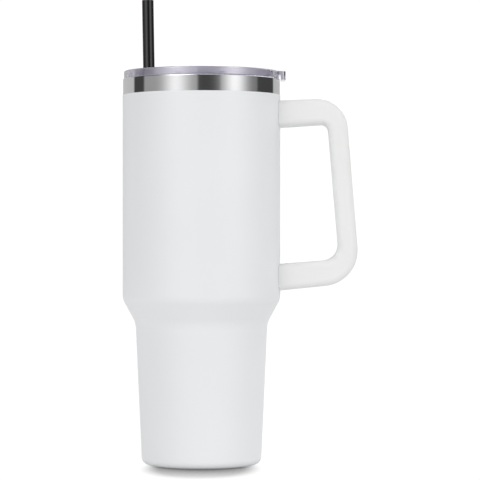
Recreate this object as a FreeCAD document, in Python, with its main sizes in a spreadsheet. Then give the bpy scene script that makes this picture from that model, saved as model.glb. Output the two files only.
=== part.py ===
import FreeCAD, Part
import os
import Sketcher
from FreeCAD import Rotation, Vector

# An insulated tumbler with a clear press-in lid, a straw and a side handle, in millimetres.
# +Z is up and the origin is the middle of the pad that the tumbler stands on.
# +X points from the axis to the handle, and -Y to the person who drinks from the sip opening.
# Every size is an expression over the cells of the sheet "sizes".

SIZES = {
    # Outside of the coated vessel: wide cup, shoulder, neck and tapered cup-holder base.
    "body_radius": 50.0,
    "shoulder_height": 104.8,
    "neck_radius": 41.8,
    "neck_height": 89.6,
    "base_radius": 37.8,
    "foot_height": 0.25,
    "coat_top": 234.0,
    "lip_top": 244.4,
    "seam_radius": 48.0,
    "shoulder_round": 10.0,
    "neck_round": 14.0,
    "foot_round": 4.5,
    "lip_round": 0.8,
    # Walls, from the outside in.
    "coat": 0.25,
    "steel": 0.5,
    "vacuum": 2.5,
    "liner_floor": 9.0,
    "liner_floor_wall": 0.6,
    "liner_floor_round": 4.0,
    # Bottom of the vessel.
    "shell_hole": 28.7,
    "coat_hole": 29.6,
    "base_disc": 31.0,
    "base_wall": 0.6,
    "dimple_radius": 6.0,
    "dimple_rise": 2.15,
    "evacuation_hole": 1.0,
    "bead_radius": 2.2,
    "bead_drop": 1.0,
    "bead_round": 0.8,
    "pad_radius": 28.5,
    "pad_round": 0.3,
    # Inside the vacuum.
    "foil_low": 118.0,
    "foil_high": 236.0,
    "foil_wall": 0.1,
    "getter_radius": 6.0,
    "getter_wall": 2.0,
    "getter_place": 15.0,
    # Handle outline, in the plane through the axis.
    "arm_root": 48.0,
    "upper_root_high": 230.2,
    "upper_root_low": 213.5,
    "lower_root_high": 126.85,
    "lower_root_low": 110.1,
    "grip_top_reach": 91.0,
    "grip_top_height": 232.0,
    "grip_bottom_reach": 100.5,
    "grip_bottom_height": 115.4,
    "gap_top_reach": 80.25,
    "gap_top_height": 215.6,
    "gap_bottom_reach": 87.5,
    "gap_bottom_height": 129.95,
    "grip_top_round": 19.5,
    "grip_bottom_round": 22.5,
    "gap_top_round": 4.5,
    "gap_bottom_round": 10.0,
    "handle_half": 12.0,
    "handle_edge_round": 4.0,
    "handle_seam": 0.08,
    # Handle brackets, screws and plugs.
    "upper_bracket": 222.1,
    "lower_bracket": 119.5,
    "socket_start": 43.0,
    "foot_wall": 0.8,
    "foot_half_width": 8.0,
    "foot_half_height": 6.5,
    "tongue_reach": 64.0,
    "tongue_half_width": 6.5,
    "tongue_half_height": 3.0,
    "fit_gap": 0.1,
    "screw_place": 57.0,
    "thread_radius": 2.0,
    "screw_gap": 0.05,
    "screw_head_radius": 3.5,
    "screw_head_height": 2.2,
    "screw_head_depth": 4.8,
    "screw_shank": 7.0,
    "screw_socket_radius": 1.4,
    "screw_socket_depth": 1.3,
    "plug_radius": 3.9,
    "plug_thickness": 0.9,
    # Lid.
    "lid_radius": 49.2,
    "lid_top": 249.0,
    "lid_seat_gap": 0.05,
    "plug_wall_out": 45.9,
    "plug_wall_in": 43.7,
    "plug_bottom": 231.0,
    "groove_radius": 44.4,
    "groove_low": 235.0,
    "groove_high": 239.0,
    "deck_low": 241.0,
    "deck_high": 243.0,
    "rim_round": 0.6,
    "recess_round": 0.5,
    "tab_reach": 53.3,
    "tab_half": 9.0,
    "tab_low": 246.5,
    "tab_ridge": 50.4,
    "tab_ridge_low": 243.4,
    "tab_corner_round": 2.4,
    "tab_root_round": 1.2,
    "sip_place": 33.0,
    "sip_half_length": 10.0,
    "sip_radius": 4.5,
    "vent_radius": 1.0,
    "vent_place": 30.0,
    "rail_in": 12.6,
    "rail_out": 15.0,
    "rail_lip": 11.4,
    "rail_front": 37.0,
    "rail_back": 17.0,
    "rail_top": 246.7,
    "clip_place": 16.0,
    "slider_travel": 14.0,
    # Gasket ring in the lid's groove.
    "running_gap": 0.05,
    "gasket_core": 45.3,
    "gasket_fin": 46.2,
    "fin_place": 0.4,
    "fin_wall": 0.6,
    "fin_pitch": 1.3,
    # Slider and its clip.
    "slider_half": 12.5,
    "slider_front": 39.5,
    "slider_back": 2.5,
    "slider_wall": 2.2,
    "slider_round": 5.0,
    "thumb_half": 8.0,
    "thumb_width": 4.0,
    "thumb_rise": 2.4,
    "thumb_round": 0.9,
    "clip_stem_half": 1.9,
    "clip_foot_half": 6.0,
    "clip_foot_wall": 1.5,
    # Straw and its grommet.
    "straw_radius": 3.7,
    "straw_wall": 0.7,
    "straw_place": -33.75,
    "straw_place_height": 272.0,
    "straw_lean": 0.95,
    "straw_low": 10.6,
    "straw_high": 294.5,
    "straw_tip_round": 0.25,
    "stop_radius": 4.9,
    "stop_height": 194.0,
    "stop_wall": 2.0,
    "grommet_hole": 6.5,
    "grommet_flange": 8.0,
    "grommet_flange_wall": 1.2,
    "grommet_bore": 3.8,
}

# How far each wall's face lies inside the outside of the coat.
SHELL_OUT = "sizes.coat"
SHELL_IN = "sizes.coat + sizes.steel"
LINER_OUT = "sizes.coat + sizes.steel + sizes.vacuum"
LINER_IN = "sizes.coat + 2 * sizes.steel + sizes.vacuum"

# How far a cutting tool runs past what it cuts.
PAST = "1"

# Slopes of the vessel's side from the vertical, and the radius of the lip's bead.
SHOULDER_SLOPE = ("atan((sizes.body_radius - sizes.neck_radius)"
                  " / (sizes.shoulder_height - sizes.neck_height))")
TAPER_SLOPE = ("atan((sizes.neck_radius - sizes.base_radius)"
               " / (sizes.neck_height - sizes.foot_height))")
BEAD_OUT = f"sizes.body_radius - ({SHELL_OUT}) - sizes.seam_radius"
BEAD_IN = f"sizes.body_radius - ({SHELL_IN}) - sizes.seam_radius"

# Heights at the bottom of the vessel.
SHELL_BOTTOM = "sizes.foot_height + sizes.coat"
DISC_BOTTOM = "sizes.foot_height + sizes.coat + sizes.steel"
DIMPLE_BOTTOM = f"{DISC_BOTTOM} + sizes.dimple_rise"
LINER_BOTTOM = "sizes.liner_floor - sizes.liner_floor_wall"

# Where the leaning straw's axis stands at its lower end, and where it crosses the lid's deck.
STRAW_FOOT = ("sizes.straw_place"
              " + (sizes.straw_place_height - sizes.straw_low) * tan(sizes.straw_lean)")
STRAW_AT_DECK = ("sizes.straw_place"
                 " + (sizes.straw_place_height - sizes.deck_high) * tan(sizes.straw_lean)")

MATCH = 0.02  # how near an edge has to lie to a stated place, to be taken as the one meant

document = FreeCAD.newDocument("tumbler")


def make_sheet():
    """Sheet of the driving sizes, one alias for each cell."""
    sheet = document.addObject("Spreadsheet::Sheet", "sizes")
    for row, (name, size) in enumerate(SIZES.items(), start=1):
        sheet.set(f"A{row}", str(size))
        sheet.setAlias(f"A{row}", name)
    document.recompute()
    return sheet


def value(expression):
    """Number that an expression over the sheet comes to."""
    result = sheet.evalExpression(expression)
    return float(getattr(result, "Value", result))


def bind(item, **sizes):
    """Bind properties of an object to expressions."""
    for name, expression in sizes.items():
        item.setExpression(name, expression)


def move(item, x="0", y="0", z="0"):
    """Bind the place of an object to expressions."""
    for axis, expression in (("x", x), ("y", y), ("z", z)):
        item.setExpression(f"Placement.Base.{axis}", expression)


# ---- Part primitives and booleans ----

def cylinder(name, radius, low, high, x="0", y="0"):
    """Upright cylinder between two heights."""
    item = document.addObject("Part::Cylinder", name)
    bind(item, Radius=radius, Height=f"({high}) - ({low})")
    move(item, x, y, low)
    return item


def box(name, x, y, z):
    """Block between the low and high ends given for each axis."""
    item = document.addObject("Part::Box", name)
    bind(item, Length=f"({x[1]}) - ({x[0]})", Width=f"({y[1]}) - ({y[0]})",
         Height=f"({z[1]}) - ({z[0]})")
    move(item, x[0], y[0], z[0])
    return item


def cut(name, base, *tools):
    """What is left of base after every tool has been cut from it."""
    for tool in tools:
        item = document.addObject("Part::Cut", name)
        item.Base = base
        item.Tool = tool
        base = item
    return base


def fuse(name, *items):
    """One solid from several that touch or overlap."""
    item = document.addObject("Part::MultiFuse", name)
    item.Shapes = list(items)
    item.Refine = True
    return item


def common(name, first, second):
    """What two solids share."""
    item = document.addObject("Part::Common", name)
    item.Base = first
    item.Tool = second
    return item


def tube(name, outer, inner, low, high):
    """Straight tube about the axis."""
    return cut(name, cylinder(f"{name}_out", outer, low, high),
               cylinder(f"{name}_bore", inner, low, high))


# ---- PartDesign bodies ----

def new_body(name):
    """Empty PartDesign body."""
    return document.addObject("PartDesign::Body", name)


def draw_outline(body, role, corners):
    """Closed sketch of straight lines on one of the body's own planes, every corner bound."""
    sketch = body.newObject("Sketcher::SketchObject", "outline")
    plane = next(item for item in body.Origin.OriginFeatures if item.Role == role)
    sketch.AttachmentSupport = [(plane, "")]
    sketch.MapMode = "FlatFace"
    points = [Vector(value(across), value(up), 0) for across, up in corners]
    count = len(points)
    for index, point in enumerate(points):
        sketch.addGeometry(Part.LineSegment(point, points[(index + 1) % count]), False)
    for index in range(count):
        sketch.addConstraint(Sketcher.Constraint("Coincident", (index - 1) % count, 2, index, 1))
    for index, (across, up) in enumerate(corners):
        fix_corner(sketch, "DistanceX", index, across, -2)
        fix_corner(sketch, "DistanceY", index, up, -1)
    return sketch


def fix_corner(sketch, kind, line, expression, axis):
    """Hold the start of a line on a sketch axis, or at a bound distance from the origin."""
    if expression == "0":
        sketch.addConstraint(Sketcher.Constraint("PointOnObject", line, 1, axis))
        return
    number = sketch.addConstraint(
        Sketcher.Constraint(kind, -1, 1, line, 1, value(expression)))
    sketch.setExpression(f"Constraints[{number}]", expression)


def revolve(body, corners):
    """Full turn of an outline, given as radius and height, about the body's Z axis."""
    sketch = draw_outline(body, "XZ_Plane", corners)
    item = body.newObject("PartDesign::Revolution", "turned")
    item.Profile = sketch
    item.ReferenceAxis = (sketch, ["V_Axis"])
    item.Angle = 360
    document.recompute()
    return item


def add_block(body, x, y, z, kind="Additive"):
    """Block added to the body, or cut from it, between low and high ends."""
    item = body.newObject(f"PartDesign::{kind}Box", "block")
    bind(item, Length=f"({x[1]}) - ({x[0]})", Width=f"({y[1]}) - ({y[0]})",
         Height=f"({z[1]}) - ({z[0]})")
    move(item, x[0], y[0], z[0])
    document.recompute()
    return item


def drill(body, radius, low, high, x="0", y="0"):
    """Upright round hole cut from the body between two heights."""
    before = body.Shape.Volume
    item = body.newObject("PartDesign::SubtractiveCylinder", "hole")
    bind(item, Radius=radius, Height=f"({high}) - ({low})")
    move(item, x, y, low)
    document.recompute()
    if body.Shape.Volume >= before:
        raise RuntimeError(f"{body.Name}: a hole cuts nothing")
    return item


def round_edges(body, radius, chosen):
    """Round those edges of the body so far for which chosen is true."""
    base = body.Tip
    names = [f"Edge{number}" for number, edge in enumerate(base.Shape.Edges, start=1)
             if chosen(edge)]
    if not names:
        raise RuntimeError(f"{body.Name}: no edge to round by {radius}")
    item = body.newObject("PartDesign::Fillet", "rounding")
    item.Base = (base, names)
    item.setExpression("Radius", radius)
    document.recompute()
    return item


def near(first, second):
    """Whether two lengths are the same for choosing an edge."""
    return abs(first - second) < MATCH


def ring_at(radius, height):
    """Chooser of the level circles of one radius at one height."""
    wanted_radius = value(radius)
    wanted_height = value(height)

    def chosen(edge):
        curve = edge.Curve
        return (isinstance(curve, Part.Circle) and near(curve.Radius, wanted_radius)
                and near(curve.Center.z, wanted_height))
    return chosen


def cross_edge_at(reach, height):
    """Chooser of the edges along Y that pass through one place of the XZ plane."""
    wanted_reach = value(reach)
    wanted_height = value(height)

    def chosen(edge):
        return all(near(end.X, wanted_reach) and near(end.Z, wanted_height)
                   for end in edge.Vertexes)
    return chosen


def upright_at(reach, side):
    """Chooser of the upright edges at plus and minus side in Y, at one X."""
    wanted_reach = value(reach)
    wanted_side = value(side)

    def chosen(edge):
        ends = edge.Vertexes
        return (len(ends) == 2 and not near(ends[0].Z, ends[1].Z)
                and all(near(end.X, wanted_reach) and near(abs(end.Y), wanted_side)
                        for end in ends))
    return chosen


# ---- Vessel ----

def vessel_form(name, depth, floor, top, floor_round, top_round=None):
    """Filled form of the vessel, its side set in by depth from the outside of the coat."""
    mean = f"({SHOULDER_SLOPE} + {TAPER_SLOPE}) / 2"
    half_bend = f"({SHOULDER_SLOPE} - {TAPER_SLOPE}) / 2"
    floor_edge = (f"sizes.base_radius + (({floor}) - sizes.foot_height) * tan({TAPER_SLOPE})"
                  f" - ({depth}) / cos({TAPER_SLOPE})", floor)
    neck = (f"sizes.neck_radius - ({depth}) * cos({mean}) / cos({half_bend})",
            f"sizes.neck_height + ({depth}) * sin({mean}) / cos({half_bend})")
    side = f"sizes.body_radius - ({depth})"
    shoulder = (side, f"sizes.shoulder_height + ({depth}) * tan({SHOULDER_SLOPE} / 2)")
    body = new_body(name)
    revolve(body, [("0", floor), floor_edge, neck, shoulder, (side, top), ("0", top)])
    round_edges(body, f"sizes.shoulder_round - ({depth})", ring_at(*shoulder))
    round_edges(body, f"sizes.neck_round + ({depth})", ring_at(*neck))
    round_edges(body, floor_round, ring_at(*floor_edge))
    if top_round:
        round_edges(body, top_round, ring_at(side, top))
    return body


def make_outer_shell():
    """Steel outer wall, from the weld seam on the lip to the flange under the base disc."""
    outside = vessel_form("shell_outside", SHELL_OUT, SHELL_BOTTOM, "sizes.lip_top",
                          f"sizes.foot_round - ({SHELL_OUT})", "sizes.lip_round")
    inside = vessel_form("shell_inside", SHELL_IN, DISC_BOTTOM, "sizes.lip_top - sizes.steel",
                         f"sizes.foot_round - ({SHELL_IN})", "sizes.lip_round - sizes.steel")
    mouth = cylinder("shell_mouth", "sizes.seam_radius", "sizes.coat_top",
                     f"sizes.lip_top + {PAST}")
    hole = cylinder("shell_hole", "sizes.shell_hole", "0", DISC_BOTTOM)
    return cut("outer_shell", outside, inside, mouth, hole)


def make_powder_coat():
    """Thick powder coat on the shell, open at the bottom and where the handle's feet stand."""
    outside = vessel_form("coat_outside", "0", "sizes.foot_height", "sizes.coat_top",
                          "sizes.foot_round")
    inside = vessel_form("coat_inside", SHELL_OUT, SHELL_BOTTOM, f"sizes.coat_top + {PAST}",
                         f"sizes.foot_round - ({SHELL_OUT})")
    hole = cylinder("coat_hole", "sizes.coat_hole", "0", DISC_BOTTOM)
    windows = [foot_space(f"coat_window_{end}", f"sizes.{end}_bracket", "sizes.fit_gap",
                          f"sizes.body_radius + {PAST}") for end in ("upper", "lower")]
    return cut("powder_coat", outside, inside, hole, *windows)


def make_inner_liner():
    """Steel cup that holds the drink, flared over to the weld seam on the lip."""
    outside = vessel_form("liner_outside", LINER_OUT, LINER_BOTTOM, "sizes.coat_top",
                          "sizes.liner_floor_round + sizes.steel")
    inside = vessel_form("liner_inside", LINER_IN, "sizes.liner_floor", f"sizes.coat_top + {PAST}",
                         "sizes.liner_floor_round")
    drink_side = mouth_block("flare_drink_side", LINER_IN, "sizes.coat_top", "sizes.lip_top",
                             BEAD_OUT, "sizes.body_radius")
    vacuum_side = mouth_block("flare_vacuum_side", LINER_OUT, f"sizes.coat_top - {PAST}",
                              "sizes.lip_top - sizes.steel", BEAD_IN, f"sizes.body_radius + {PAST}")
    seam = cylinder("flare_seam", "sizes.seam_radius", "sizes.coat_top", "sizes.lip_top")
    flare = common("liner_flare", cut("flare_sheet", drink_side, vacuum_side), seam)
    return fuse("inner_liner", cut("liner_wall", outside, inside), flare)


def mouth_block(name, depth, low, top, mouth_round, reach):
    """Ring out to reach, whose hole is the vessel's side at depth and is rounded at the top."""
    body = new_body(name)
    hole = f"sizes.body_radius - ({depth})"
    revolve(body, [(hole, low), (reach, low), (reach, top), (hole, top)])
    round_edges(body, mouth_round, ring_at(hole, top))
    return body


def make_outer_base():
    """Pressed disc welded over the shell's flange, with a dimple round the evacuation hole."""
    top = f"{DISC_BOTTOM} + sizes.base_wall"
    dimple_top = f"{DIMPLE_BOTTOM} + sizes.base_wall"
    disc = cylinder("base_plate", "sizes.base_disc", DISC_BOTTOM, top)
    raised = cylinder("base_dimple", "sizes.dimple_radius + sizes.base_wall", DISC_BOTTOM,
                      dimple_top)
    hollow = cylinder("base_hollow", "sizes.dimple_radius", DISC_BOTTOM, DIMPLE_BOTTOM)
    hole = cylinder("base_hole", "sizes.evacuation_hole", DISC_BOTTOM, dimple_top)
    return cut("outer_base", fuse("base_pressing", disc, raised), hollow, hole)


def make_vacuum_seal_bead():
    """Bead of sealing glass that closes the evacuation hole from below."""
    body = new_body("vacuum_seal_bead")
    stem = "sizes.evacuation_hole - sizes.screw_gap"
    drop = f"{DIMPLE_BOTTOM} - sizes.bead_drop"
    revolve(body, [("0", drop), ("sizes.bead_radius", drop), ("sizes.bead_radius", DIMPLE_BOTTOM),
                   (stem, DIMPLE_BOTTOM), (stem, f"{DIMPLE_BOTTOM} + sizes.base_wall"),
                   ("0", f"{DIMPLE_BOTTOM} + sizes.base_wall")])
    round_edges(body, "sizes.bead_round", ring_at("sizes.bead_radius", drop))
    return body


def make_base_pad():
    """Rubber pad that the tumbler stands on."""
    body = new_body("base_pad")
    revolve(body, [("0", "0"), ("sizes.pad_radius", "0"), ("sizes.pad_radius", DISC_BOTTOM),
                   ("0", DISC_BOTTOM)])
    round_edges(body, "sizes.pad_round", ring_at("sizes.pad_radius", "0"))
    return body


def make_copper_foil():
    """Radiation foil wrapped on the liner inside the vacuum."""
    inner = f"sizes.body_radius - ({LINER_OUT})"
    return tube("copper_foil", f"{inner} + sizes.foil_wall", inner, "sizes.foil_low",
                "sizes.foil_high")


def make_getter_capsule():
    """Getter pellet in its cup, spot-welded under the liner's floor."""
    return cylinder("getter_capsule", "sizes.getter_radius", f"{LINER_BOTTOM} - sizes.getter_wall",
                    LINER_BOTTOM, x="sizes.getter_place")


# ---- Handle ----

def foot_space(name, height, gap, reach):
    """Block round a bracket's foot, out to reach."""
    half_width = f"sizes.foot_half_width + ({gap})"
    half_height = f"sizes.foot_half_height + ({gap})"
    return box(name, ("sizes.socket_start", reach), (f"-({half_width})", half_width),
               (f"{height} - ({half_height})", f"{height} + ({half_height})"))


def make_bracket(end):
    """Steel bracket for one arm: a curved foot welded to the shell, and a tapped tongue."""
    height = f"sizes.{end}_bracket"
    shell_radius = f"sizes.body_radius - ({SHELL_OUT})"
    name = f"handle_bracket_{end}"
    ring = tube(f"{name}_ring", f"{shell_radius} + sizes.foot_wall", shell_radius,
                f"{height} - sizes.foot_half_height", f"{height} + sizes.foot_half_height")
    foot = common(f"{name}_foot", ring, foot_space(f"{name}_space", height, "0",
                                                   "sizes.body_radius + 5"))
    tongue = box(f"{name}_tongue",
                 ("sizes.body_radius - sizes.coat + sizes.foot_wall / 4", "sizes.tongue_reach"),
                 ("-sizes.tongue_half_width", "sizes.tongue_half_width"),
                 (f"{height} - sizes.tongue_half_height", f"{height} + sizes.tongue_half_height"))
    thread = cylinder(f"{name}_thread", "sizes.thread_radius",
                      f"{height} - sizes.tongue_half_height",
                      f"{height} + sizes.tongue_half_height", x="sizes.screw_place")
    return cut(name, fuse(f"{name}_blank", foot, tongue), thread)


def screw_heights(end):
    """Where a screw's head meets the moulding, and which way its shank points (+1 is up)."""
    sign = "+" if end == "upper" else "-"
    back = "-" if end == "upper" else "+"
    return f"sizes.{end}_bracket {back} sizes.screw_head_depth", sign, back


def span(start, sign, length):
    """Low and high ends of a length that runs from start in the sign's direction."""
    far = f"{start} {sign} ({length})"
    return (start, far) if sign == "+" else (far, start)


def make_screw(end):
    """Pan-head screw that holds one arm to its tongue, driven from the finger side."""
    seat, sign, back = screw_heights(end)
    name = f"handle_screw_{end}"
    head = cylinder(f"{name}_head", "sizes.screw_head_radius",
                    *span(seat, back, "sizes.screw_head_height"), x="sizes.screw_place")
    shank = cylinder(f"{name}_shank", "sizes.thread_radius - sizes.screw_gap",
                     *span(seat, sign, "sizes.screw_shank"), x="sizes.screw_place")
    socket = cylinder(f"{name}_socket", "sizes.screw_socket_radius",
                      *span(f"{seat} {back} sizes.screw_head_height", sign,
                            "sizes.screw_socket_depth"), x="sizes.screw_place")
    return cut(name, fuse(f"{name}_blank", head, shank), socket)


def make_screw_plug(end):
    """Soft plug that covers a screw head, flush with the arm."""
    seat, _, back = screw_heights(end)
    start = f"{seat} {back} sizes.screw_head_height {back} sizes.fit_gap"
    return cylinder(f"screw_plug_{end}", "sizes.plug_radius",
                    *span(start, back, "sizes.plug_thickness"), x="sizes.screw_place")


def make_handle_moulding():
    """Moulded handle: two arms and a leaning grip, with a socket in each arm."""
    body = new_body("handle_moulding")
    grip_top = ("sizes.grip_top_reach", "sizes.grip_top_height")
    grip_bottom = ("sizes.grip_bottom_reach", "sizes.grip_bottom_height")
    gap_bottom = ("sizes.gap_bottom_reach", "sizes.gap_bottom_height")
    gap_top = ("sizes.gap_top_reach", "sizes.gap_top_height")
    sketch = draw_outline(body, "XZ_Plane", [
        ("sizes.arm_root", "sizes.upper_root_high"), grip_top, grip_bottom,
        ("sizes.arm_root", "sizes.lower_root_low"), ("sizes.arm_root", "sizes.lower_root_high"),
        gap_bottom, gap_top, ("sizes.arm_root", "sizes.upper_root_low")])
    pad = body.newObject("PartDesign::Pad", "side_to_side")
    pad.Profile = sketch
    pad.SideType = "Symmetric"
    pad.setExpression("Length", "2 * sizes.handle_half")
    document.recompute()
    round_edges(body, "sizes.grip_top_round", cross_edge_at(*grip_top))
    round_edges(body, "sizes.grip_bottom_round", cross_edge_at(*grip_bottom))
    round_edges(body, "sizes.gap_top_round", cross_edge_at(*gap_top))
    round_edges(body, "sizes.gap_bottom_round", cross_edge_at(*gap_bottom))
    round_edges(body, "sizes.handle_edge_round", is_handle_rim)
    drill(body, "sizes.body_radius + sizes.handle_seam", f"sizes.lower_root_low - {PAST}",
          f"sizes.upper_root_high + {PAST}")
    for end in ("upper", "lower"):
        cut_socket(body, end)
    return body


def is_handle_rim(edge):
    """Whether an edge runs along the handle's outline on one of its two flat sides."""
    half = value("sizes.handle_half")
    root = value("sizes.arm_root")
    on_side = all(near(abs(end.Y), half) for end in edge.Vertexes)
    crosses = len({end.Y > 0 for end in edge.Vertexes}) > 1
    at_root = all(near(end.X, root) for end in edge.Vertexes)
    return on_side and not crosses and not at_root


def cut_socket(body, end):
    """Cut the space for one bracket, its screw, the screw's head and the plug."""
    height = f"sizes.{end}_bracket"
    seat, _, back = screw_heights(end)
    foot_width = "sizes.foot_half_width + 1.5 * sizes.fit_gap"
    foot_height = "sizes.foot_half_height + 1.5 * sizes.fit_gap"
    tongue_width = "sizes.tongue_half_width + sizes.fit_gap"
    tongue_height = "sizes.tongue_half_height + sizes.fit_gap"
    inside = "sizes.socket_start"
    foot_reach = "sizes.body_radius + sizes.foot_wall - sizes.coat + 2 * sizes.fit_gap"
    add_block(body, (inside, foot_reach), (f"-({foot_width})", foot_width),
              (f"{height} - ({foot_height})", f"{height} + ({foot_height})"), "Subtractive")
    add_block(body, (inside, "sizes.tongue_reach + sizes.fit_gap"),
              (f"-({tongue_width})", tongue_width),
              (f"{height} - ({tongue_height})", f"{height} + ({tongue_height})"), "Subtractive")
    drill(body, "sizes.thread_radius + sizes.fit_gap", *span(height, back, "sizes.handle_half"),
          x="sizes.screw_place")
    drill(body, "sizes.plug_radius + sizes.screw_gap", *span(seat, back, "sizes.handle_half"),
          x="sizes.screw_place")


# ---- Lid ----

def make_lid_body():
    """Clear lid: rim, plug wall with a gasket groove, sunk deck, rails and lifting tab."""
    body = new_body("lid_body")
    seat = "sizes.lip_top + sizes.lid_seat_gap"
    rim_top = ("sizes.lid_radius", "sizes.lid_top")
    recess_top = ("sizes.plug_wall_in", "sizes.lid_top")
    revolve(body, [
        ("0", "sizes.deck_low"), ("sizes.plug_wall_in", "sizes.deck_low"),
        ("sizes.plug_wall_in", "sizes.plug_bottom"), ("sizes.plug_wall_out", "sizes.plug_bottom"),
        ("sizes.plug_wall_out", "sizes.groove_low"), ("sizes.groove_radius", "sizes.groove_low"),
        ("sizes.groove_radius", "sizes.groove_high"),
        ("sizes.plug_wall_out", "sizes.groove_high"), ("sizes.plug_wall_out", seat),
        ("sizes.lid_radius", seat), rim_top, recess_top,
        ("sizes.plug_wall_in", "sizes.deck_high"), ("0", "sizes.deck_high")])
    add_tab(body)
    round_edges(body, "sizes.recess_round", ring_at(*recess_top))
    add_rails(body)
    cut_deck(body)
    return body


def add_tab(body):
    """Add the lifting tab, which turns down over the lip, and round the rim and tab together."""
    across = ("-sizes.tab_half", "sizes.tab_half")
    root = "sqrt(sizes.lid_radius ^ 2 - sizes.tab_half ^ 2)"
    add_block(body, ("sizes.plug_wall_out", "sizes.tab_reach"), across,
              ("sizes.tab_low", "sizes.lid_top"))
    add_block(body, ("sizes.tab_ridge", "sizes.tab_reach"), across,
              ("sizes.tab_ridge_low", "sizes.lid_top"))
    round_edges(body, "sizes.tab_corner_round", upright_at("sizes.tab_reach", "sizes.tab_half"))
    round_edges(body, "sizes.tab_root_round", upright_at(root, "sizes.tab_half"))
    round_edges(body, "sizes.rim_round", is_lid_rim)


def is_lid_rim(edge):
    """Whether an edge runs along the outside of the lid's top face."""
    top = value("sizes.lid_top")
    inside = value("sizes.plug_wall_in") + 1
    return all(near(end.Z, top) and Vector(end.X, end.Y, 0).Length > inside
               for end in edge.Vertexes)


def add_rails(body):
    """Add the two rails that hold the slider down."""
    along = ("-sizes.rail_front", "sizes.rail_back")
    lip_low = "sizes.deck_high + sizes.slider_wall + 2 * sizes.running_gap"
    for low, high in (("sizes.rail_in", "sizes.rail_out"), ("-sizes.rail_out", "-sizes.rail_in")):
        add_block(body, (low, high), along, ("sizes.deck_high", "sizes.rail_top"))
    for low, high in (("sizes.rail_lip", "sizes.rail_in"), ("-sizes.rail_in", "-sizes.rail_lip")):
        add_block(body, (low, high), along, (lip_low, "sizes.rail_top"))


def cut_deck(body):
    """Cut the sip opening, the clip's slot, the vent and the straw's hole through the deck."""
    low = f"sizes.deck_low - {PAST}"
    high = f"sizes.deck_high + {PAST}"
    straight = "sizes.sip_half_length - sizes.sip_radius"
    for side in ("-", ""):
        drill(body, "sizes.sip_radius", low, high, x=f"{side}({straight})", y="-sizes.sip_place")
    add_block(body, (f"-({straight})", straight),
              ("-sizes.sip_place - sizes.sip_radius", "-sizes.sip_place + sizes.sip_radius"),
              (low, high), "Subtractive")
    half_slot = "sizes.clip_stem_half + 2 * sizes.fit_gap"
    add_block(body, (f"-({half_slot})", half_slot),
              (f"-sizes.clip_place - ({half_slot})",
               f"-sizes.clip_place + sizes.slider_travel + ({half_slot})"),
              (low, high), "Subtractive")
    drill(body, "sizes.vent_radius", low, high, y="sizes.vent_place")
    drill(body, "sizes.grommet_hole", low, high, x=STRAW_AT_DECK)


def make_lid_gasket():
    """Silicone ring in the lid's groove, with three fins that press on the liner."""
    body = new_body("lid_gasket")
    inner = "sizes.groove_radius + sizes.running_gap"
    low = "sizes.groove_low + sizes.running_gap"
    high = "sizes.groove_high - sizes.running_gap"
    core = "sizes.gasket_core"
    corners = [(inner, low), (core, low)]
    for fin in range(3):
        fin_low = f"sizes.groove_low + sizes.fin_place + {fin} * sizes.fin_pitch"
        corners += [(core, fin_low), ("sizes.gasket_fin", fin_low),
                    ("sizes.gasket_fin", f"{fin_low} + sizes.fin_wall"),
                    (core, f"{fin_low} + sizes.fin_wall")]
    corners += [(core, high), (inner, high)]
    revolve(body, corners)
    return body


def make_lid_slider():
    """Plate that covers the sip opening, with a thumb ridge."""
    body = new_body("lid_slider")
    low = "sizes.deck_high + sizes.running_gap"
    top = f"{low} + sizes.slider_wall"
    ridge = f"{top} + sizes.thumb_rise"
    add_block(body, ("-sizes.slider_half", "sizes.slider_half"),
              ("-sizes.slider_front", "sizes.slider_back"), (low, top))
    round_edges(body, "sizes.slider_round", is_upright)
    middle = "-sizes.clip_place"
    add_block(body, ("-sizes.thumb_half", "sizes.thumb_half"),
              (f"{middle} - sizes.thumb_width / 2", f"{middle} + sizes.thumb_width / 2"),
              (top, ridge))
    ridge_height = value(ridge)
    round_edges(body, "sizes.thumb_round",
                lambda edge: all(near(end.Z, ridge_height) for end in edge.Vertexes))
    return body


def is_upright(edge):
    """Whether an edge is a straight upright one."""
    ends = edge.Vertexes
    return len(ends) == 2 and near(ends[0].X, ends[1].X) and near(ends[0].Y, ends[1].Y)


def make_slider_clip():
    """Clip that snaps up through the slot and holds the slider to the deck."""
    body = new_body("slider_clip")
    top = "sizes.deck_high + sizes.running_gap"
    foot_top = "sizes.deck_low - 2 * sizes.running_gap"
    foot_low = f"{foot_top} - sizes.clip_foot_wall"
    for half, low, high in (("sizes.clip_stem_half", foot_top, top),
                            ("sizes.clip_foot_half", foot_low, foot_top)):
        add_block(body, (f"-{half}", half),
                  (f"-sizes.clip_place - {half}", f"-sizes.clip_place + {half}"), (low, high))
    round_edges(body, "sizes.clip_foot_wall",
                lambda edge: is_upright(edge)
                and near(abs(edge.Vertexes[0].X), value("sizes.clip_foot_half")))
    return body


# ---- Straw ----

def make_straw_grommet():
    """Silicone grommet in the lid's straw hole, its bore along the leaning straw."""
    flange_low = "sizes.deck_low - sizes.grommet_flange_wall"
    flange_high = "sizes.deck_high + sizes.grommet_flange_wall"
    core = cylinder("grommet_core", "sizes.grommet_hole - sizes.fit_gap / 2", flange_low,
                    flange_high, x=STRAW_AT_DECK)
    upper = cylinder("grommet_upper", "sizes.grommet_flange", "sizes.deck_high", flange_high,
                     x=STRAW_AT_DECK)
    lower = cylinder("grommet_lower", "sizes.grommet_flange", flange_low, "sizes.deck_low",
                     x=STRAW_AT_DECK)
    bore = cylinder("grommet_bore", "sizes.grommet_bore", "0", "sizes.straw_high")
    stand_on_straw_axis(bore)
    return cut("straw_grommet", fuse("grommet_blank", core, upper, lower), bore)


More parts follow.
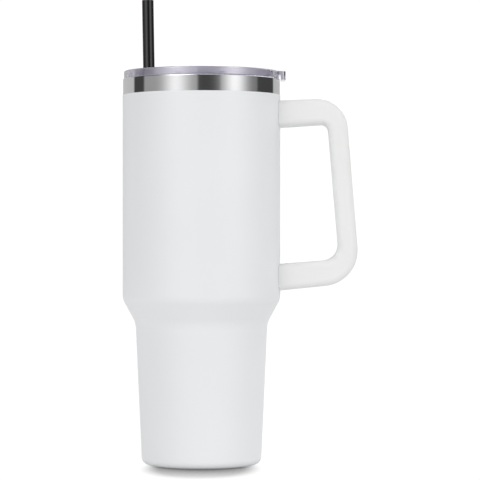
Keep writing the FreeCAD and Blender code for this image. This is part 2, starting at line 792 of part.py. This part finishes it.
def stand_on_straw_axis(item):
    """Put an upright object on the straw's axis, which leans to -X, its origin at the foot."""
    item.Placement.Rotation = Rotation(Vector(0, -1, 0), 1)
    item.setExpression("Placement.Rotation.Angle", "sizes.straw_lean")
    move(item, STRAW_FOOT, z="sizes.straw_low")


def make_straw():
    """Straight drinking straw, with a moulded ring that stops it below the lid."""
    body = new_body("straw")
    outer = "sizes.straw_radius"
    inner = "sizes.straw_radius - sizes.straw_wall"
    length = "(sizes.straw_high - sizes.straw_low) / cos(sizes.straw_lean)"
    stop_low = "sizes.stop_height"
    stop_high = "sizes.stop_height + sizes.stop_wall"
    revolve(body, [(inner, "0"), (outer, "0"), (outer, stop_low), ("sizes.stop_radius", stop_low),
                   ("sizes.stop_radius", stop_high), (outer, stop_high), (outer, length),
                   (inner, length)])
    for tip in ("0", length):
        for radius in (outer, inner):
            round_edges(body, "sizes.straw_tip_round", ring_at(radius, tip))
    stand_on_straw_axis(body)
    return body


# ---- The whole tumbler ----

def make_pieces():
    """Every separate piece, by the name of its node."""
    pieces = {
        "outer_shell": make_outer_shell(),
        "powder_coat": make_powder_coat(),
        "inner_liner": make_inner_liner(),
        "copper_foil": make_copper_foil(),
        "outer_base": make_outer_base(),
        "vacuum_seal_bead": make_vacuum_seal_bead(),
        "getter_capsule": make_getter_capsule(),
        "base_pad": make_base_pad(),
        "handle_moulding": make_handle_moulding(),
        "lid_body": make_lid_body(),
        "lid_gasket": make_lid_gasket(),
        "lid_slider": make_lid_slider(),
        "slider_clip": make_slider_clip(),
        "straw_grommet": make_straw_grommet(),
        "straw": make_straw(),
    }
    for end in ("upper", "lower"):
        pieces[f"handle_bracket_{end}"] = make_bracket(end)
        pieces[f"handle_screw_{end}"] = make_screw(end)
        pieces[f"screw_plug_{end}"] = make_screw_plug(end)
    for name, piece in pieces.items():
        piece.Label = name
    return pieces


def check(pieces):
    """Stop if any object of the document failed, or a piece isn't one valid solid."""
    document.recompute()
    for item in document.Objects:
        if "Invalid" in item.State or "Error" in item.State:
            raise RuntimeError(f"{item.Label} has failed: {item.State}")
    for name, piece in pieces.items():
        shape = piece.Shape
        if shape.isNull() or not shape.isValid() or len(shape.Solids) != 1:
            raise RuntimeError(f"{name} isn't one valid solid")


def write(pieces):
    """Write each piece to its own STEP file."""
    os.makedirs("parts", exist_ok=True)
    for name, piece in pieces.items():
        piece.Shape.exportStep(f"parts/{name}.step")
        size = piece.Shape.BoundBox
        print(f"{name:24s} {piece.Shape.Volume:12.1f} mm3  z {size.ZMin:7.2f} {size.ZMax:7.2f}")


sheet = make_sheet()
all_pieces = make_pieces()
check(all_pieces)
write(all_pieces)
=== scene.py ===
import math

import bpy
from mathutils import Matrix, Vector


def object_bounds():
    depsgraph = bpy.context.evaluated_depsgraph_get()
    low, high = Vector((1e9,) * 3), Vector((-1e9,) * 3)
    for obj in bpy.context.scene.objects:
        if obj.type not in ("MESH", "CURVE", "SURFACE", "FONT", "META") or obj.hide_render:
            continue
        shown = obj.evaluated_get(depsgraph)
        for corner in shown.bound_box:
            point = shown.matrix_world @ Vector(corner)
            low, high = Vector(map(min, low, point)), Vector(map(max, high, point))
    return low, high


# The tumbler's looks, in metres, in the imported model's own frame: +Z up, handle at +X.
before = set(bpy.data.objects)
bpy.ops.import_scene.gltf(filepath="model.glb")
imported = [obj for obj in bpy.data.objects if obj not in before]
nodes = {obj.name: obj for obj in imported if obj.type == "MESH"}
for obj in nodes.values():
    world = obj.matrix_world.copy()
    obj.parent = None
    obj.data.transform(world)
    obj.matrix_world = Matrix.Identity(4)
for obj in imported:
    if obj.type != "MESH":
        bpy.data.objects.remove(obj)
cad_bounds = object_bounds()

# Camera, on a level with the middle of the tumbler and far enough for little perspective.
CAMERA_PLACE = (0.02445, -1.43, 0.1422)
CAMERA_LENS = 168.9
CAMERA_CLIP_START = 0.01


def make_camera():
    """Level camera that looks along +Y."""
    data = bpy.data.cameras.new("camera")
    data.lens = CAMERA_LENS
    data.clip_start = CAMERA_CLIP_START
    camera = bpy.data.objects.new("camera", data)
    camera.location = CAMERA_PLACE
    camera.rotation_euler = (math.pi / 2, 0, 0)
    bpy.context.scene.collection.objects.link(camera)
    bpy.context.scene.camera = camera


# ---- Node helpers ----

# The middle of a noise's range, where most of its values lie.
NOISE_LOW = 0.3
NOISE_HIGH = 0.7


def new_material(name):
    """Material with a Principled shader; gives the material, its tree and the shader."""
    material = bpy.data.materials.new(name)
    material.use_nodes = True
    tree = material.node_tree
    shader = tree.nodes["Principled BSDF"]
    return material, tree, shader


def add(tree, kind, **settings):
    """Shader node with its properties set."""
    node = tree.nodes.new(kind)
    for name, value in settings.items():
        setattr(node, name, value)
    return node


def grain(tree, scale, detail=2.0, stretch=(1, 1, 1), roughness=0.5):
    """Noise in the object's own metres; scale is features per metre along each stretched axis."""
    place = add(tree, "ShaderNodeTexCoord")
    mapping = add(tree, "ShaderNodeMapping")
    mapping.inputs["Scale"].default_value = stretch
    noise = add(tree, "ShaderNodeTexNoise")
    noise.inputs["Scale"].default_value = scale
    noise.inputs["Detail"].default_value = detail
    noise.inputs["Roughness"].default_value = roughness
    tree.links.new(place.outputs["Object"], mapping.inputs["Vector"])
    tree.links.new(mapping.outputs["Vector"], noise.inputs["Vector"])
    return noise.outputs["Fac"]


def spread(tree, source, low, high):
    """The middle of a noise's range mapped to run from low to high."""
    node = add(tree, "ShaderNodeMapRange")
    node.inputs["From Min"].default_value = NOISE_LOW
    node.inputs["From Max"].default_value = NOISE_HIGH
    node.inputs["To Min"].default_value = low
    node.inputs["To Max"].default_value = high
    tree.links.new(source, node.inputs["Value"])
    return node.outputs["Result"]


def tint(tree, source, dark, light):
    """Colour between two shades, by a noise."""
    ramp = add(tree, "ShaderNodeValToRGB")
    ramp.color_ramp.elements[0].position = NOISE_LOW
    ramp.color_ramp.elements[0].color = (*dark, 1)
    ramp.color_ramp.elements[1].position = NOISE_HIGH
    ramp.color_ramp.elements[1].color = (*light, 1)
    tree.links.new(source, ramp.inputs["Fac"])
    return ramp.outputs["Color"]


def bump(tree, shader, source, height, under=None):
    """Bump of a height in metres, over another bump if one is given."""
    node = add(tree, "ShaderNodeBump")
    node.inputs["Distance"].default_value = height
    node.inputs["Strength"].default_value = 1.0
    tree.links.new(source, node.inputs["Height"])
    if under:
        tree.links.new(under, node.inputs["Normal"])
    tree.links.new(node.outputs["Normal"], shader.inputs["Normal"])
    return node.outputs["Normal"]


def reckon(tree, operation, *values):
    """Math node over sockets and numbers."""
    node = add(tree, "ShaderNodeMath", operation=operation)
    for socket, value in zip(node.inputs, values):
        if isinstance(value, (int, float)):
            socket.default_value = value
        else:
            tree.links.new(value, socket)
    return node.outputs["Value"]


def ease(tree, source, low, high):
    """Smooth step from 0 at low to 1 at high."""
    node = add(tree, "ShaderNodeMapRange", interpolation_type="SMOOTHSTEP")
    node.inputs["From Min"].default_value = low
    node.inputs["From Max"].default_value = high
    tree.links.new(source, node.inputs["Value"])
    return node.outputs["Result"]


def from_axis(tree):
    """Distance from the object's upright axis, in metres."""
    place = add(tree, "ShaderNodeTexCoord")
    flat = add(tree, "ShaderNodeVectorMath", operation="MULTIPLY")
    flat.inputs[1].default_value = (1, 1, 0)
    length = add(tree, "ShaderNodeVectorMath", operation="LENGTH")
    tree.links.new(place.outputs["Object"], flat.inputs[0])
    tree.links.new(flat.outputs["Vector"], length.inputs[0])
    return length.outputs["Value"]


# ---- Materials ----

# How much of its brightness a material keeps in its darker patches.
METAL_PATCH = 0.94
CLEAR_PATCH = 0.97
SOFT_PATCH = 0.93

# Clear plastic. Its skin is a reflective coat. Satin walls add to its roughness, and run from
# polished to satin over the edge's width. The radii are those of the lid's recess wall.
CLEAR_IOR = 1.52
SKIN_ROUGHNESS = 0.02
SKIN_IOR = 2.6
SATIN_ROUGHNESS = 0.30
SATIN_EDGE = 0.001
RECESS_RADII = (0.0424, 0.0448)


def powder_coat_material():
    """White powder coat: satin, with a fine orange-peel texture."""
    material, tree, shader = new_material("white_powder_coat")
    slow = grain(tree, 18, detail=1)
    peel = grain(tree, 1100, detail=1.5)
    speck = grain(tree, 3200, detail=1)
    tree.links.new(tint(tree, slow, (0.812, 0.825, 0.839), (0.832, 0.845, 0.859)),
                   shader.inputs["Base Color"])
    tree.links.new(spread(tree, peel, 0.30, 0.40), shader.inputs["Roughness"])
    under = bump(tree, shader, peel, 0.000012)
    bump(tree, shader, speck, 0.000003, under)
    return material


def handle_material():
    """White moulded plastic, satin, with a spark-eroded grain."""
    material, tree, shader = new_material("white_moulding")
    slow = grain(tree, 25, detail=1)
    fine = grain(tree, 2200, detail=2)
    tree.links.new(tint(tree, slow, (0.825, 0.825, 0.822), (0.845, 0.845, 0.842)),
                   shader.inputs["Base Color"])
    tree.links.new(spread(tree, fine, 0.46, 0.58), shader.inputs["Roughness"])
    bump(tree, shader, fine, 0.000010)
    return material


def turned_metal_material(name, shade, low, high, depth, metallic=1.0):
    """Metal with fine marks that run round the axis."""
    material, tree, shader = new_material(name)
    marks = grain(tree, 20, detail=3, stretch=(1, 1, 320))
    cloud = grain(tree, 40, detail=2)
    shader.inputs["Metallic"].default_value = metallic
    darker = tuple(METAL_PATCH * channel for channel in shade)
    tree.links.new(tint(tree, cloud, darker, shade), shader.inputs["Base Color"])
    tree.links.new(spread(tree, marks, low, high), shader.inputs["Roughness"])
    bump(tree, shader, marks, depth)
    return material


def clear_material(name, shade, low, high, milk, satin=None):
    """Clear moulded plastic with a violet cast, faint flow marks and a little milkiness.

    satin, if given, is the two radii between which its walls are satin and not polished.
    """
    material, tree, shader = new_material(name)
    haze = grain(tree, 60, detail=3)
    ripple = grain(tree, 90, detail=1)
    shader.inputs["IOR"].default_value = CLEAR_IOR
    shader.inputs["Coat Weight"].default_value = 1.0
    shader.inputs["Coat Roughness"].default_value = SKIN_ROUGHNESS
    shader.inputs["Coat IOR"].default_value = SKIN_IOR
    darker = tuple(CLEAR_PATCH * channel for channel in shade)
    tree.links.new(tint(tree, haze, darker, shade), shader.inputs["Base Color"])
    rough = spread(tree, haze, low, high)
    if satin:
        radius = from_axis(tree)
        inside = reckon(tree, "SUBTRACT", ease(tree, radius, satin[0], satin[0] + SATIN_EDGE),
                        ease(tree, radius, satin[1] - SATIN_EDGE, satin[1]))
        rough = reckon(tree, "MULTIPLY_ADD", inside, SATIN_ROUGHNESS, rough)
    tree.links.new(rough, shader.inputs["Roughness"])
    tree.links.new(spread(tree, haze, 1 - milk, 1 - 0.6 * milk),
                   shader.inputs["Transmission Weight"])
    bump(tree, shader, ripple, 0.00002)
    return material


def straw_material():
    """Black gloss plastic, with faint marks along its length."""
    material, tree, shader = new_material("black_straw_plastic")
    marks = grain(tree, 900, detail=2, stretch=(1, 1, 0.02))
    dust = grain(tree, 700, detail=3)
    tree.links.new(tint(tree, dust, (0.003, 0.003, 0.003), (0.006, 0.006, 0.006)),
                   shader.inputs["Base Color"])
    tree.links.new(spread(tree, dust, 0.02, 0.05), shader.inputs["Roughness"])
    shader.inputs["Specular IOR Level"].default_value = 0.9
    bump(tree, shader, marks, 0.0000015)
    return material


def soft_material(name, shade, low=0.5, high=0.65, depth=0.00001):
    """Silicone or rubber, matt, with a fine moulded grain."""
    material, tree, shader = new_material(name)
    fine = grain(tree, 1800, detail=2)
    slow = grain(tree, 30, detail=2)
    darker = tuple(SOFT_PATCH * channel for channel in shade)
    tree.links.new(tint(tree, slow, darker, shade), shader.inputs["Base Color"])
    tree.links.new(spread(tree, fine, low, high), shader.inputs["Roughness"])
    bump(tree, shader, fine, depth)
    return material


def paint(material, *names):
    """Give CAD nodes a material."""
    for name in names:
        nodes[name].data.materials.clear()
        nodes[name].data.materials.append(material)


# ---- Studio ----

# The room round the tumbler. A bearing runs in degrees from straight behind the tumbler, by its
# left side (90), the camera (180) and the handle's side (270). Each wall has its two bearings and
# a brightness, with dark gaps between the walls. Each lamp has a bearing, a spread, and its
# brightness at the level of the tumbler and above it.
WALLS = ((-20, 67, 0.52), (86, 178, 0.30), (206, 273, 0.14), (309, 380, 0.50))
LAMPS = ((143.5, 13, 0.76, 4.9), (231, 13, 0.98, 4.4), (295, 15, 0.0, 1.4),
         (30, 22, 0.0, 0.6), (330, 22, 0.0, 0.8))
WALL_EDGE = 5
WALL_FADE = 0.9
CEILING_BRIGHTNESS = 0.6
GAP_BRIGHTNESS = 0.06
FLOOR_GLOW = 0.81
BACKDROP = 1.05

# Upward part of a direction: where the walls fade and the lamps come to their brightness above,
# and where the ceiling takes over.
ABOVE_START, ABOVE_END = 0.10, 0.35
CEILING_START, CEILING_END = 0.45, 0.80

# The contact shadow: how far round it the floor looks for the tumbler, which way it looks, how
# sharply it darkens, and the oval in front of the tumbler that it's kept to.
SHADOW_REACH = 0.060
SHADOW_LOOK = (0, 0.92, 0.39)
SHADOW_POWER = 1.6
SHADOW_OVAL_PLACE = (0, -0.030, 0)
SHADOW_OVAL_SIZE = (0.041, 0.076, 1)
SHADOW_OVAL_CORE = 0.60

# How close to the tumbler the floor's glow on it fades, and how sharply: painted shade, the glow
# that lights the tumbler's foot dimmed where the pad meets the floor.
GLOW_SHADE_REACH = 0.008
GLOW_SHADE_POWER = 0.5

OPENNESS_SAMPLES = 12
FLOOR_HALF_WIDTH = 12.0
FLOOR_DROP = 0.0001


def wall(tree, bearing, start, end, brightness):
    """Brightness of a wall between two bearings, with soft ends."""
    rise = ease(tree, bearing, start, start + WALL_EDGE)
    fall = ease(tree, bearing, end - WALL_EDGE, end)
    return reckon(tree, "MULTIPLY", reckon(tree, "SUBTRACT", rise, fall), brightness)


def lamp(tree, bearing, above, centre, spread_angle, level, high):
    """Brightness of a soft lamp round one bearing, from the tumbler's level to above it."""
    offset = reckon(tree, "DIVIDE", reckon(tree, "SUBTRACT", bearing, centre), spread_angle)
    square = reckon(tree, "MULTIPLY", offset, offset)
    glow = reckon(tree, "EXPONENT", reckon(tree, "MULTIPLY", square, -0.5))
    return reckon(tree, "MULTIPLY", glow, reckon(tree, "MULTIPLY_ADD", above, high - level, level))


def make_world():
    """Pale room with soft lamps and dark gaps; the camera itself sees a plain backdrop."""
    world = bpy.data.worlds.new("studio")
    bpy.context.scene.world = world
    world.use_nodes = True
    tree = world.node_tree
    tree.nodes.clear()
    place = add(tree, "ShaderNodeTexCoord")
    split = add(tree, "ShaderNodeSeparateXYZ")
    tree.links.new(place.outputs["Generated"], split.inputs["Vector"])
    across, along, height = (split.outputs[axis] for axis in "XYZ")
    turn = reckon(tree, "ARCTAN2", across, reckon(tree, "MULTIPLY", along, -1))
    bearing = reckon(tree, "MULTIPLY_ADD", turn, math.degrees(1), 180)
    above = ease(tree, height, ABOVE_START, ABOVE_END)
    total = GAP_BRIGHTNESS
    for start, end, brightness in WALLS:
        total = reckon(tree, "ADD", wall(tree, bearing, start, end, brightness), total)
    total = reckon(tree, "MULTIPLY", total, reckon(tree, "MULTIPLY_ADD", above, -WALL_FADE, 1.0))
    for lamp_values in LAMPS:
        total = reckon(tree, "ADD", total, lamp(tree, bearing, above, *lamp_values))
    ceiling = ease(tree, height, CEILING_START, CEILING_END)
    around = reckon(tree, "MULTIPLY", total, reckon(tree, "SUBTRACT", 1.0, ceiling))
    room = add(tree, "ShaderNodeBackground")
    tree.links.new(reckon(tree, "MULTIPLY_ADD", ceiling, CEILING_BRIGHTNESS, around),
                   room.inputs["Strength"])
    white = add(tree, "ShaderNodeBackground")
    white.inputs["Strength"].default_value = BACKDROP
    for background in (room, white):
        background.inputs["Color"].default_value = (1, 1, 1, 1)
    out = add(tree, "ShaderNodeOutputWorld")
    tree.links.new(by_ray(tree, room.outputs["Background"], white.outputs["Background"]),
                   out.inputs["Surface"])


def by_ray(tree, lights, seen):
    """One shader for the light that falls on the tumbler and another for what the lens sees."""
    path = add(tree, "ShaderNodeLightPath")
    choose = add(tree, "ShaderNodeMixShader")
    tree.links.new(path.outputs["Is Camera Ray"], choose.inputs["Fac"])
    tree.links.new(lights, choose.inputs[1])
    tree.links.new(seen, choose.inputs[2])
    return choose.outputs["Shader"]


def openness(tree, reach, normal):
    """How open the floor is within reach, looking the way of the normal."""
    node = add(tree, "ShaderNodeAmbientOcclusion", samples=OPENNESS_SAMPLES)
    node.inputs["Distance"].default_value = reach
    way = add(tree, "ShaderNodeCombineXYZ")
    for socket, value in zip(way.inputs, normal):
        socket.default_value = value
    tree.links.new(way.outputs["Vector"], node.inputs["Normal"])
    return node.outputs["AO"]


def in_front(tree):
    """1 on the floor close in front of the tumbler, easing to 0 all round."""
    place = add(tree, "ShaderNodeTexCoord")
    mapping = add(tree, "ShaderNodeMapping", vector_type="TEXTURE")
    mapping.inputs["Location"].default_value = SHADOW_OVAL_PLACE
    mapping.inputs["Scale"].default_value = SHADOW_OVAL_SIZE
    length = add(tree, "ShaderNodeVectorMath", operation="LENGTH")
    tree.links.new(place.outputs["Object"], mapping.inputs["Vector"])
    tree.links.new(mapping.outputs["Vector"], length.inputs[0])
    outward = ease(tree, length.outputs["Value"], SHADOW_OVAL_CORE, 1.0)
    return reckon(tree, "SUBTRACT", 1.0, outward)


def floor_material():
    """Evenly lit pale floor that runs into the backdrop, with a soft contact shadow in front."""
    material = bpy.data.materials.new("pale_floor")
    material.use_nodes = True
    tree = material.node_tree
    tree.nodes.clear()
    open_air = reckon(tree, "POWER", openness(tree, SHADOW_REACH, SHADOW_LOOK), SHADOW_POWER)
    hidden = reckon(tree, "MULTIPLY", reckon(tree, "SUBTRACT", 1.0, open_air), in_front(tree))
    seen = add(tree, "ShaderNodeEmission")
    tree.links.new(reckon(tree, "MULTIPLY_ADD", hidden, -BACKDROP, BACKDROP),
                   seen.inputs["Strength"])
    glow = add(tree, "ShaderNodeEmission")
    # Painted shade: the floor's glow dims close to the tumbler, darkening the light on its foot.
    glow_shade = reckon(tree, "POWER", openness(tree, GLOW_SHADE_REACH, (0, 0, 1)), GLOW_SHADE_POWER)
    tree.links.new(reckon(tree, "MULTIPLY", glow_shade, FLOOR_GLOW), glow.inputs["Strength"])
    out = add(tree, "ShaderNodeOutputMaterial")
    tree.links.new(by_ray(tree, glow.outputs["Emission"], seen.outputs["Emission"]),
                   out.inputs["Surface"])
    return material


def make_floor():
    """Wide plain floor just under the pad."""
    half = FLOOR_HALF_WIDTH
    mesh = bpy.data.meshes.new("floor")
    mesh.from_pydata([(-half, -half, 0), (half, -half, 0), (half, half, 0), (-half, half, 0)],
                     [], [(0, 1, 2, 3)])
    floor = bpy.data.objects.new("floor", mesh)
    floor.location.z = cad_bounds[0].z - FLOOR_DROP
    mesh.materials.append(floor_material())
    bpy.context.scene.collection.objects.link(floor)


make_camera()
make_world()
make_floor()
bpy.context.scene.view_settings.view_transform = "Standard"

paint(powder_coat_material(), "powder_coat")
paint(handle_material(), "handle_moulding")
paint(turned_metal_material("polished_steel", (0.80, 0.80, 0.81), 0.05, 0.09, 0.0000008),
      "outer_shell")
paint(turned_metal_material("blasted_steel", (0.80, 0.80, 0.81), 0.30, 0.44, 0.000004, 0.72),
      "inner_liner")
paint(turned_metal_material("satin_steel", (0.66, 0.66, 0.67), 0.24, 0.38, 0.000004),
      "outer_base", "handle_bracket_upper", "handle_bracket_lower")
paint(turned_metal_material("screw_steel", (0.58, 0.58, 0.59), 0.25, 0.4, 0.000004),
      "handle_screw_upper", "handle_screw_lower", "getter_capsule")
paint(turned_metal_material("copper", (0.90, 0.50, 0.36), 0.2, 0.35, 0.00001), "copper_foil")
paint(clear_material("clear_lid_plastic", (0.86, 0.825, 0.98), 0.01, 0.04, 0.05, RECESS_RADII),
      "lid_body")
paint(clear_material("clear_slider_plastic", (0.84, 0.82, 0.95), 0.02, 0.08, 0.14),
      "lid_slider", "slider_clip")
paint(soft_material("silicone", (0.78, 0.78, 0.80)), "lid_gasket", "straw_grommet")
paint(soft_material("white_plug", (0.80, 0.80, 0.80)), "screw_plug_upper", "screw_plug_lower")
paint(soft_material("pad_rubber", (0.42, 0.42, 0.43)), "base_pad")
paint(soft_material("seal_glass", (0.08, 0.06, 0.05), 0.1, 0.2), "vacuum_seal_bead")
paint(straw_material(), "straw")
